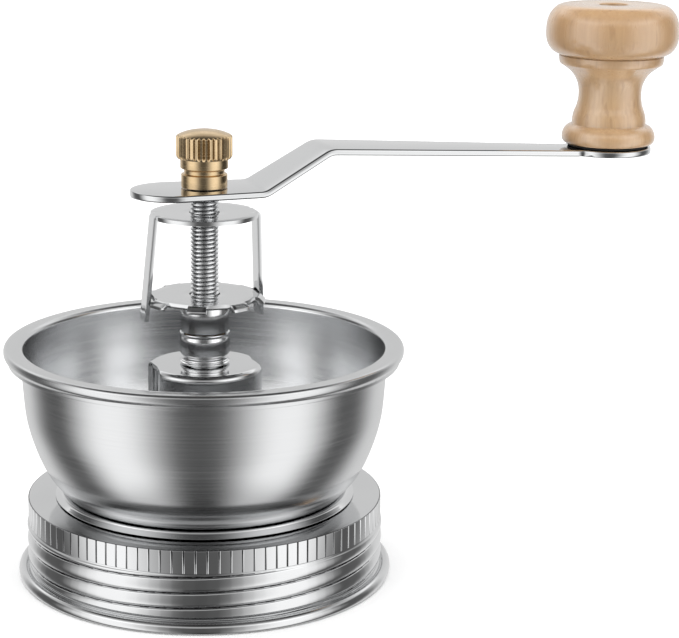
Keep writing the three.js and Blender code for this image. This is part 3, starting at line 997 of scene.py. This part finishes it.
def drive_shaft():
    """Plain journal and tail below, a thread from the wheel up to the arm, and a stud above it."""
    span = Span("drive_shaft")
    tail, journal = 2.5, 3
    shoulder = 7.6
    gap = 0.05
    follow(shaft_thread(span), "drive_shaft")

    low_end = THREAD_BOTTOM - gap
    plain = soften([(0, span.low), (tail, span.low), (tail, shoulder), (journal, shoulder),
                    (journal, low_end), (0, low_end)], 0.3, closed=False)
    follow(lathe("drive_shaft_journal", plain, MACHINED, even_angles(72), closed=False), "drive_shaft")

    high_end = THREAD_TOP + gap
    stud = soften([(0, high_end), (journal, high_end), (journal, span.high), (0, span.high)],
                  0.4, closed=False)
    stand_in(lathe("drive_shaft_stud", stud, MACHINED, even_angles(72), closed=False), "drive_shaft")


ARM_HUB = 10.5  # radius of the end round the shaft
ARM_RAMP_X = 30
ARM_RAMP_HALF = 8.4
ARM_NECK_HALF = 5.8


def arm_half_width(x, left, right, knob_x):
    """Half the width of the arm seen from above: a round hub, a taper and a round end pad."""
    hub_x = left + ARM_HUB
    pad = right - knob_x
    neck_x = knob_x - math.sqrt(pad ** 2 - ARM_NECK_HALF ** 2)
    if x < hub_x:
        return math.sqrt(max(ARM_HUB ** 2 - (x - hub_x) ** 2, 0))
    if x < ARM_RAMP_X:
        return ARM_HUB + (ARM_RAMP_HALF - ARM_HUB) * (x - hub_x) / (ARM_RAMP_X - hub_x)
    if x < neck_x:
        return ARM_RAMP_HALF + (ARM_NECK_HALF - ARM_RAMP_HALF) * (x - ARM_RAMP_X) / (neck_x - ARM_RAMP_X)
    return math.sqrt(max(pad ** 2 - (x - knob_x) ** 2, 0))


def arm_stations(path, left, right):
    """Places along the arm's middle line, closer together at its round ends."""
    ends = (0.02, 0.1, 0.25, 0.5, 0.8, 1.2, 1.7, 2.3, 3, 3.8)
    margin = ends[-1] + 0.5
    middle = [(x, z) for x, z in split_path(path, 1)[:-1] if left + margin < x < right - margin]
    start = [(left + e, path[0][1]) for e in ends]
    finish = [(right - e, path[-1][1]) for e in reversed(ends)]
    return start + middle + finish


def crank_arm():
    """Flat bar with rounded edges, swept along the arm's middle line."""
    span = Span("crank_arm")
    sheet, edge, pad_z = 1.7, 0.74, 102.85
    inset = 0.03
    left, right = span.left + inset, span.right - inset
    hub_z = span.low + sheet / 2
    knob_x = Span("wooden_knob").x
    pad_x = 2 * knob_x - right
    path = soften([(left, hub_z), (13.2, hub_z), (ARM_RAMP_X, 106.3), (pad_x, pad_z), (right, pad_z)],
                  5, closed=False, steps=7)
    stations = arm_stations(path, left, right)
    last = len(stations) - 1
    verts = []
    for i, (x, z) in enumerate(stations):
        along = Vector(stations[min(i + 1, last)]) - Vector(stations[max(i - 1, 0)])
        along.normalize()
        half = arm_half_width(x, left, right, knob_x)
        corners = [(-half, -sheet / 2), (half, -sheet / 2), (half, sheet / 2), (-half, sheet / 2)]
        section = soften(corners, min(edge, 0.8 * half), steps=4)
        verts += [(x - along.y * up, across, z + along.x * up) for across, up in section]
    sides = len(verts) // len(stations)
    faces = grid_faces(sides, len(stations), wrap=True)
    faces += [tuple(range(sides)), tuple(range(last * sides, (last + 1) * sides))]
    stand_in(make_mesh("crank_arm_fine", verts, faces, STEEL, 45), "crank_arm")


def cap_nut():
    """Brass nut: two collars, a knurled head and a domed top."""
    span = Span("cap_nut")
    ridges, ridge_depth, columns_per_ridge = 34, 0.45, 12
    bore, collar, waist = 3.3, 5.65, 4.95
    shoulder = 5.85
    head = span.radius
    head_low = span.high - 7.0
    collars = soften([
        (collar, span.low), (collar, span.low + 3.1), (waist, span.low + 3.3), (waist, span.low + 4.3),
        (shoulder, span.low + 4.6), (shoulder, head_low - 0.1)], 0.25, closed=False)
    knurl = [
        (head - 0.35, head_low), (head - 0.05, head_low + 0.45),
        *[(head, head_low + 0.7 + 0.5 * i) for i in range(10)],
    ]
    dome = smooth_curve([
        (head - 0.1, span.high - 1.6), (head - 0.5, span.high - 1.3), (head - 1.5, span.high - 0.85),
        (head - 3.2, span.high - 0.35), (2.0, span.high - 0.06)], 4)
    outline = [
        (0, span.low + 0.3), (bore, span.low + 0.3), (bore, span.low), *collars, (shoulder, head_low),
        *knurl, *dome, (0, span.high),
    ]

    def relief(angle, radius, height):
        if radius < head - 0.5 or height < head_low:
            return radius
        fade = blend_step((height - head_low) / 0.6) * blend_step((span.high - 1.2 - height) / 0.5)
        from_crest = abs((angle * ridges / math.tau) % 1 - 0.5) * 2
        crest_share = 0.35
        return radius - ridge_depth * fade * max(0.0, from_crest - crest_share) / (1 - crest_share)

    angles = even_angles(ridges * columns_per_ridge)
    stand_in(lathe("cap_nut_fine", outline, BRASS, angles, relief, closed=False, crease=40), "cap_nut")


# ---- Knob and pin ----


def wooden_knob():
    """Turned knob: a foot ring, a waist, a collar and a bulb with a recess for the pin's head."""
    span = Span("wooden_knob")
    bore, recess, recess_floor = 2.3, 3.7, span.high - 2.6
    foot = [
        (10.9, 0), (11.35, 0.15), (11.8, 0.7), (11.98, 1.6), (11.85, 2.6), (11.4, 3.6), (10.75, 4.3),
        (9.9, 4.75), (9.65, 4.8)]
    waist = [
        (9.52, 4.95), (9.45, 6.4), (9.1, 8.0), (8.4, 9.9), (8.05, 12.3), (8.25, 14.8), (9.1, 16.9),
        (10.4, 18.5), (12.1, 19.8), (12.75, 20.2)]
    collar = [(12.85, 20.25), (13.2, 20.6), (13.4, 21.5), (13.45, 22.5), (13.2, 22.7)]
    bulb = [
        (13.3, 22.8), (13.9, 22.95), (15.2, 23.7), (16.3, 25.1), (16.88, 27.0), (16.95, 29.2),
        (16.65, 31.4), (15.9, 33.2), (14.7, 34.6)]
    crown = [(13.6, span.high - 0.25), (12.7, span.high - 0.02)]
    hollow = soften([(8, span.high), (recess, span.high), (recess, recess_floor), (bore, recess_floor)],
                    0.4, closed=False)
    outline = [
        (bore, span.low), *smooth_curve(raised(foot, span.low), 4),
        *smooth_curve(raised(waist, span.low), 5), *raised(collar, span.low),
        *smooth_curve(raised(bulb, span.low) + crown, 6), *hollow,
    ]
    knob = lathe("wooden_knob_fine", outline, WOOD, even_angles(144), centre=(span.x, span.y), crease=38)
    stand_in(knob, "wooden_knob")


def knob_pin():
    """Pin with a domed head above and a riveted tail under the arm."""
    span = Span("knob_pin")
    stem = 1.9
    seat = span.high - 1.5
    tail = smooth_curve(raised([(0, 0), (1.6, 0.08), (2.6, 0.4), (3.2, 0.85)], span.low), 3)
    head = smooth_curve([
        (3.2, seat + 0.2), (3.0, seat + 0.85), (1.7, span.high - 0.12), (0, span.high)], 4)
    outline = [*tail, (stem, span.low + 0.9), (stem, seat), (3.1, seat), *head]
    pin = lathe("knob_pin_fine", outline, STEEL, even_angles(72), centre=(span.x, span.y), closed=False)
    stand_in(pin, "knob_pin")


# ---- Camera, light and floor ----

AZIMUTH = math.radians(-18.76)
ELEVATION = math.radians(13.91)
ROLL = math.radians(0.75)
DISTANCE = 0.5257
AIM = Vector((0.0352, 0, 0.0622))


def camera():
    """Camera that looks at a point above the arm's root and rolls slightly."""
    level = math.cos(ELEVATION)
    back = Vector((math.sin(AZIMUTH) * level, -math.cos(AZIMUTH) * level, math.sin(ELEVATION)))
    right = Vector((math.cos(AZIMUTH), math.sin(AZIMUTH), 0))
    up = back.cross(right)
    rolled_right = right * math.cos(ROLL) + up * math.sin(ROLL)
    rolled_up = up * math.cos(ROLL) - right * math.sin(ROLL)
    turn = Matrix((rolled_right, rolled_up, back)).transposed().to_4x4()
    data = bpy.data.cameras.new("camera")
    data.sensor_width = 36
    data.lens = 110.2
    data.clip_start = 0.01
    view = bpy.data.objects.new("camera", data)
    view.matrix_world = Matrix.Translation(AIM + back * DISTANCE) @ turn
    bpy.context.scene.collection.objects.link(view)
    bpy.context.scene.camera = view


def math_node(tree, operation, *values):
    node = tree.nodes.new("ShaderNodeMath")
    node.operation = operation
    for socket, value in zip(node.inputs, values):
        if isinstance(value, (int, float)):
            socket.default_value = value
        else:
            tree.links.new(value, socket)
    return node.outputs["Value"]


def grey_ramp(tree, value, *stops):
    """Smooth ramp through (position, brightness) stops."""
    node = tree.nodes.new("ShaderNodeValToRGB")
    node.color_ramp.interpolation = "EASE"
    elements = node.color_ramp.elements
    elements[0].position = stops[0][0]
    elements[1].position = stops[-1][0]
    for position, _ in stops[1:-1]:
        elements.new(position)
    for element, (_, grey) in zip(elements, stops):
        element.color = (grey, grey, grey, 1)
    tree.links.new(value, node.inputs["Fac"])
    return node.outputs["Color"]


def studio_direction(tree):
    """X, Y and Z of the direction looked in, with the front of the studio where the camera stands."""
    coordinates = tree.nodes.new("ShaderNodeTexCoord")
    turned = tree.nodes.new("ShaderNodeVectorRotate")
    turned.rotation_type = "Z_AXIS"
    turned.inputs["Angle"].default_value = math.pi / 2 - AZIMUTH
    split = tree.nodes.new("ShaderNodeSeparateXYZ")
    tree.links.new(coordinates.outputs["Generated"], turned.inputs["Vector"])
    tree.links.new(turned.outputs["Vector"], split.inputs["Vector"])
    return split.outputs


def studio():
    """A round studio of soft bright and dark panels, with a bright band where the ceiling begins."""
    world = bpy.data.worlds.new("studio")
    bpy.context.scene.world = world
    world.use_nodes = True
    tree = world.node_tree
    direction = studio_direction(tree)
    around = math_node(tree, "ABSOLUTE", math_node(tree, "ARCTAN2", direction["Y"], direction["X"]))
    from_front = math_node(tree, "DIVIDE", around, math.pi)
    from_nadir = math_node(tree, "MULTIPLY_ADD", direction["Z"], 0.5, 0.5)
    panels = grey_ramp(
        tree, from_front, (0, 0.11), (0.05, 0.13), (0.29, 1.35), (0.36, 1.35), (0.56, 0.12),
        (0.62, 0.14), (0.8, 0.85), (1, 0.76))
    wall = grey_ramp(
        tree, from_nadir, (0, 0.25), (0.05, 0.55), (0.14, 1), (0.75, 1), (0.86, 0.2), (1, 0.06))
    ceiling = grey_ramp(
        tree, from_nadir, (0, 0), (0.7, 0), (0.78, 0.5), (0.84, 0.5), (0.92, 0.03), (1, 0.04))
    brightness = math_node(tree, "ADD", math_node(tree, "MULTIPLY", panels, wall), ceiling)
    background = tree.nodes["Background"]
    background.inputs["Color"].default_value = (1, 1, 1, 1)
    tree.links.new(brightness, background.inputs["Strength"])


def softbox():
    """Large soft light overhead, which the steel doesn't mirror."""
    data = bpy.data.lights.new("softbox", "AREA")
    data.size = 6
    data.energy = 230
    light = bpy.data.objects.new("softbox", data)
    light.location = (0, 0, 3)
    light.visible_glossy = False
    bpy.context.scene.collection.objects.link(light)


def floor():
    """Pale floor just under the object, which the steel doesn't mirror."""
    material, shader = principled("pale_floor", (0.93, 0.93, 0.93), 0.9)
    shader.inputs["Specular IOR Level"].default_value = 0.1
    reach = 6000
    corners = [(-reach, -reach, 0), (reach, -reach, 0), (reach, reach, 0), (-reach, reach, 0)]
    ground = make_mesh("floor", corners, [(0, 1, 2, 3)], material)
    ground.location.z = -0.02 * MM
    ground.visible_glossy = False


PIECES = (
    screw_band, lid_gasket, bowl_foot, hopper_bowl,
    bearing_bridge, bearing_barrel, small_rings, carrier_screws,
    burr_carrier, outer_burr, inner_burr, burr_nut, burr_spring,
    adjusting_wheel, lock_clip,
    drive_shaft, crank_arm, cap_nut,
    wooden_knob, knob_pin,
)

camera()
studio()
softbox()
floor()
for make_piece in PIECES:
    make_piece()
bpy.context.scene.view_settings.view_transform = "Standard"
